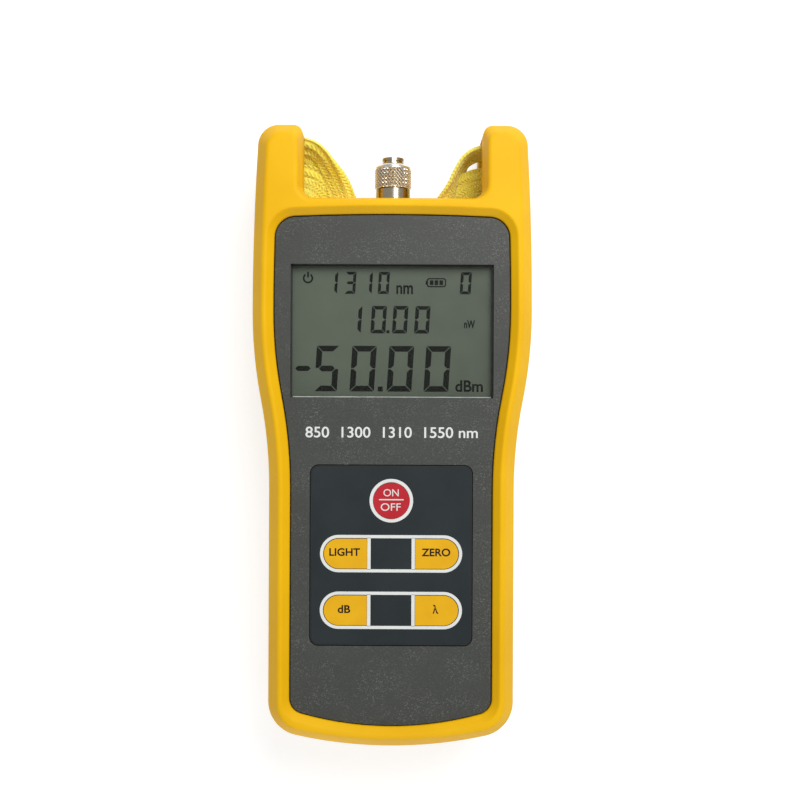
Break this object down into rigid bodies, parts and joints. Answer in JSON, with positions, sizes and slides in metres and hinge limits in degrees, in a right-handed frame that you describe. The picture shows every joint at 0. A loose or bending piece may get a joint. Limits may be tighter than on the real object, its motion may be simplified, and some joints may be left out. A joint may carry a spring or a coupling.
{
  "type": "optical power meter",
  "caption": "Handheld optical power meter in a rubber boot with guard horns, recessed display, membrane keypad, screw-on fibre adapter and a webbing strap.",
  "frame": {"origin": "centre of the footprint on the back of the boot", "axes": "+Z out of the display, +Y along the body toward the fibre adapter, +X to the right of the display"},
  "size_m": [0.0788, 0.175, 0.033],
  "materials": {
    "boot_rubber": "satin yellow rubber with a fine grain",
    "strap_fabric": "woven lemon yellow webbing",
    "panel_plastic": "dark grey moulding with a light speckle",
    "rear_plastic": "dark grey moulding",
    "screw_steel": "plated steel",
    "window_clear": "clear sheet",
    "lcd_glass": "grey green display glass",
    "frame_plastic": "black moulding",
    "backlight_plastic": "white light guide",
    "zebra_rubber": "layered contact rubber",
    "overlay_film": "dark printed film",
    "circuit_film": "clear printed film",
    "dome_steel": "snap disc steel",
    "key_red": "red printed key",
    "key_yellow": "yellow printed key",
    "board_laminate": "green solder mask",
    "chip_plastic": "black chip body",
    "can_steel": "drawn metal can",
    "nickel": "nickel plate",
    "contact_brass": "sprung contact strip",
    "cell_jacket": "plain printed jacket",
    "door_plastic": "dark grey moulding"
  },
  "bodies": {
    "meter": {"protective_boot": "boot_rubber", "hand_strap": "strap_fabric", "front_case": "panel_plastic", "rear_case": "rear_plastic", "case_screws": "screw_steel", "display_window": "window_clear", "lcd_panel": "lcd_glass", "lcd_frame": "frame_plastic", "backlight_panel": "backlight_plastic", "zebra_strips": "zebra_rubber", "keypad_overlay": "overlay_film", "keypad_spacer": "circuit_film", "keypad_circuit": "circuit_film", "key_domes": "dome_steel", "main_board": "board_laminate", "board_screws": "screw_steel", "processor_chip": "chip_plastic", "amplifier_chip": "chip_plastic", "crystal_can": "can_steel", "tail_connector": "chip_plastic", "detector_barrel": "nickel", "barrel_washer": "nickel", "barrel_nut": "nickel", "photodiode": "can_steel", "cell_left": "cell_jacket", "cell_middle": "cell_jacket", "cell_right": "cell_jacket", "battery_springs": "contact_brass", "battery_contacts": "contact_brass"},
    "battery_cover": {"battery_door": "door_plastic"},
    "fibre_nose": {"adapter_nose": "nickel"},
    "fibre_nut": {"adapter_nut": "nickel"},
    "power_button": {"power_key": "key_red"},
    "light_button": {"light_key": "key_yellow"},
    "zero_button": {"zero_key": "key_yellow"},
    "decibel_button": {"decibel_key": "key_yellow"},
    "wavelength_button": {"wavelength_key": "key_yellow"}
  },
  "joints": [
    {"name": "power_press", "type": "slide", "parent": "meter", "child": "power_button", "axis": [0, 0, -1], "range_m": [0, 0.00035], "stiffness_N_per_m": 600},
    {"name": "light_press", "type": "slide", "parent": "meter", "child": "light_button", "axis": [0, 0, -1], "range_m": [0, 0.00035], "stiffness_N_per_m": 600},
    {"name": "zero_press", "type": "slide", "parent": "meter", "child": "zero_button", "axis": [0, 0, -1], "range_m": [0, 0.00035], "stiffness_N_per_m": 600},
    {"name": "decibel_press", "type": "slide", "parent": "meter", "child": "decibel_button", "axis": [0, 0, -1], "range_m": [0, 0.00035], "stiffness_N_per_m": 600},
    {"name": "wavelength_press", "type": "slide", "parent": "meter", "child": "wavelength_button", "axis": [0, 0, -1], "range_m": [0, 0.00035], "stiffness_N_per_m": 600},
    {"name": "door_slide", "type": "slide", "parent": "meter", "child": "battery_cover", "axis": [0, 1, 0], "range_m": [0, 0.008]},
    {"name": "nose_slide", "type": "slide", "parent": "meter", "child": "fibre_nose", "axis": [0, 1, 0], "range_m": [0, 0.00225]},
    {"name": "nut_turn", "type": "hinge", "parent": "fibre_nose", "child": "fibre_nut", "pos_m": [0, 0.0742, 0.0205], "axis": [0, 1, 0], "range_deg": [0, 1081]}
  ],
  "couplings": [
    {"joint": "nut_turn", "follows": "nose_slide", "rad_per_m": 8377.6}
  ]
}
